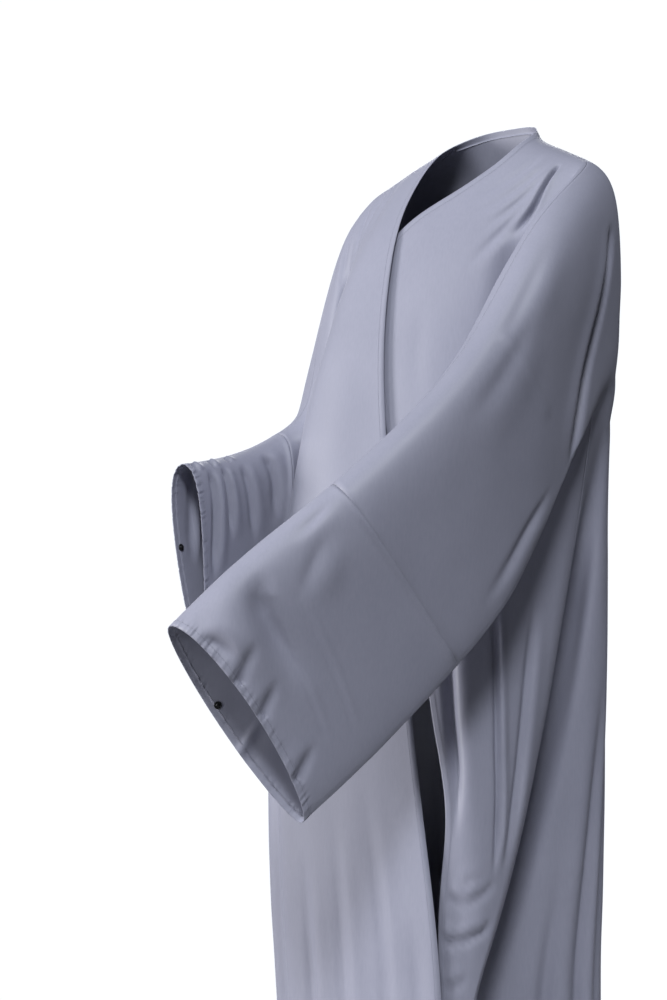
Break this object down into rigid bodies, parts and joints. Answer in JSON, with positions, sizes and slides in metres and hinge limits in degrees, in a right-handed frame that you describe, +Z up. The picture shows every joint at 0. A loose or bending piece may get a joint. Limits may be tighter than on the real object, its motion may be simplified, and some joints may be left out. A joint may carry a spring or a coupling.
{
  "type": "open abaya",
  "caption": "Full-length open-front abaya with wide batwing sleeves and sewn sleeve extensions, in its hollow worn form, right front lapped over left at the chest.",
  "frame": {"origin": "between the shoulders, at the height of the neck end of the shoulder seams, where the wearer's shoulders hold the garment up", "axes": "+Z up, -Y towards the garment's front, +X towards the garment's own left side"},
  "size_m": [0.521, 0.6643, 1.4402],
  "materials": {
    "crepe": "soft satin sheen, grey lavender",
    "snap": "satin black"
  },
  "bodies": {
    "root": {"front_left": "crepe", "front_right": "crepe", "back": "crepe", "sleeve_extension_left": "crepe", "sleeve_extension_right": "crepe", "snap_left": "snap", "snap_right": "snap"}
  },
  "joints": []
}
